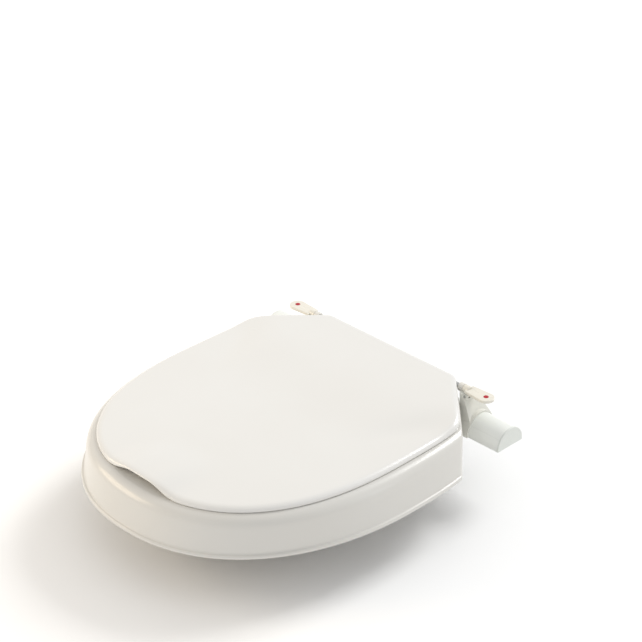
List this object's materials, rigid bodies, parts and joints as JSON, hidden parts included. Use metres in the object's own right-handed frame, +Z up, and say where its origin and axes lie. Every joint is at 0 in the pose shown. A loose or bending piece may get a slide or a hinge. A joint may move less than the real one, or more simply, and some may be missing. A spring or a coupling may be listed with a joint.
{
  "type": "raised toilet seat",
  "caption": "Raised toilet seat with a flared ring, a dished lid and a half-round cross profile clamped to the toilet's seat holes; side tabs free the hinge shaft for cleaning.",
  "frame": {"origin": "midway between the two mounting studs, in the plane of the toilet's deck and rim", "axes": "+Z up, -Y towards the front of the seat, +X to the right as seen from the front, along the cross profile and the hinge axis"},
  "size_m": [0.3734, 0.4105, 0.1145],
  "materials": {
    "seat_plastic": "gloss",
    "lid_plastic": "gloss",
    "hinge_plastic": "satin",
    "bracket_plastic": "satin",
    "profile_aluminium": "lacquered",
    "cap_plastic": "satin",
    "lever_plastic": "satin",
    "dot_red": "gloss",
    "steel": "brushed",
    "rubber_grey": "matt",
    "rubber_white": "matt",
    "nut_plastic": "satin"
  },
  "bodies": {
    "mount": {"bracket_left": "bracket_plastic", "bracket_right": "bracket_plastic", "bracket_screw_left": "steel", "bracket_screw_right": "steel", "cone_washer_left": "rubber_grey", "cone_washer_right": "rubber_grey", "cross_profile": "profile_aluminium", "deck_pad": "rubber_grey", "end_cap_left": "cap_plastic", "end_cap_right": "cap_plastic", "hinge_shaft": "steel", "lever_pin_left": "steel", "lever_pin_right": "steel", "lever_spring_left": "steel", "lever_spring_right": "steel", "mounting_bolt_left": "steel", "mounting_bolt_right": "steel", "shaft_cap_left": "hinge_plastic", "shaft_cap_right": "hinge_plastic", "steel_washer_left": "steel", "steel_washer_right": "steel", "wing_nut_left": "nut_plastic", "wing_nut_right": "nut_plastic"},
    "seat": {"seat_ring": "seat_plastic", "splash_ring": "seat_plastic", "seat_buffer_1": "rubber_white", "seat_buffer_2": "rubber_white", "seat_buffer_3": "rubber_white", "seat_buffer_4": "rubber_white", "seat_hinge_left": "hinge_plastic", "seat_hinge_right": "hinge_plastic", "seat_hinge_screw_left_1": "steel", "seat_hinge_screw_left_2": "steel", "seat_hinge_screw_right_1": "steel", "seat_hinge_screw_right_2": "steel"},
    "lid": {"lid_shell": "lid_plastic", "lid_hinge_left": "hinge_plastic", "lid_hinge_right": "hinge_plastic", "lid_hinge_screw_left_1": "steel", "lid_hinge_screw_left_2": "steel", "lid_hinge_screw_right_1": "steel", "lid_hinge_screw_right_2": "steel", "lid_buffer_1": "rubber_white", "lid_buffer_2": "rubber_white", "lid_buffer_3": "rubber_white", "lid_buffer_4": "rubber_white"},
    "lever_left": {"release_lever_left": "lever_plastic", "red_dot_left": "dot_red"},
    "lever_right": {"release_lever_right": "lever_plastic", "red_dot_right": "dot_red"}
  },
  "joints": [
    {"name": "seat_hinge", "type": "hinge", "parent": "mount", "child": "seat", "pos_m": [0, 0, 0.045], "axis": [-1, 0, 0], "range_deg": [0, 95]},
    {"name": "lid_hinge", "type": "hinge", "parent": "seat", "child": "lid", "pos_m": [0, 0, 0.045], "axis": [-1, 0, 0], "range_deg": [0, 97]},
    {"name": "release_lever_left", "type": "hinge", "parent": "mount", "child": "lever_left", "pos_m": [-0.1215, 0, 0.0415], "axis": [0, -1, 0], "range_deg": [0, 12], "stiffness_Nm_per_rad": 0.05, "springref_deg": -20.05},
    {"name": "release_lever_right", "type": "hinge", "parent": "mount", "child": "lever_right", "pos_m": [0.1215, 0, 0.0415], "axis": [0, 1, 0], "range_deg": [0, 12], "stiffness_Nm_per_rad": 0.05, "springref_deg": -20.05}
  ]
}
